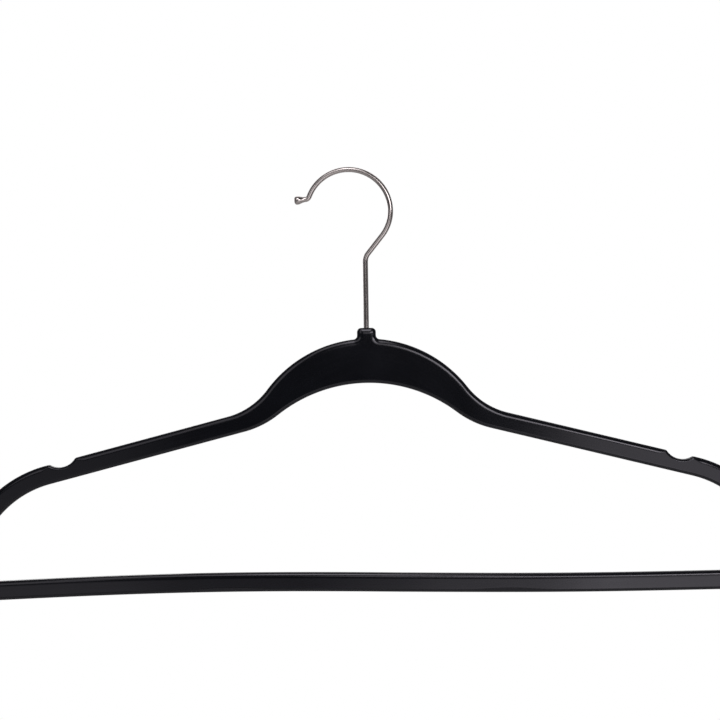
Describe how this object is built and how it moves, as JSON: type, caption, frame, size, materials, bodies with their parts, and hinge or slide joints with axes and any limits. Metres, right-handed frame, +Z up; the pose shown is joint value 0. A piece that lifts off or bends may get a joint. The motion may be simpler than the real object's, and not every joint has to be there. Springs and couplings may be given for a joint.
{
  "type": "clothes hanger",
  "caption": "Slim black plastic suit hanger with a trouser bar, strap notches and a swivelling chromed wire hook.",
  "frame": {"origin": "inner crown of the hook, where it rests on the rail", "axes": "+X along the hanger's width, +Y through its thickness towards the back, +Z up"},
  "size_m": [0.4434, 0.007, 0.2288],
  "materials": {
    "plastic": "semi-gloss black, as moulded",
    "chrome": "bright plated wire",
    "bush": "plain turned"
  },
  "bodies": {
    "hook": {"swivel_hook": "chrome"},
    "frame": {"moulded_frame": "plastic", "hook_bush": "bush"}
  },
  "joints": [
    {"name": "hook_swivel", "type": "hinge", "parent": "hook", "child": "frame", "pos_m": [0.0086, 0, -0.0867], "axis": [0, 0, 1], "continuous": true}
  ]
}
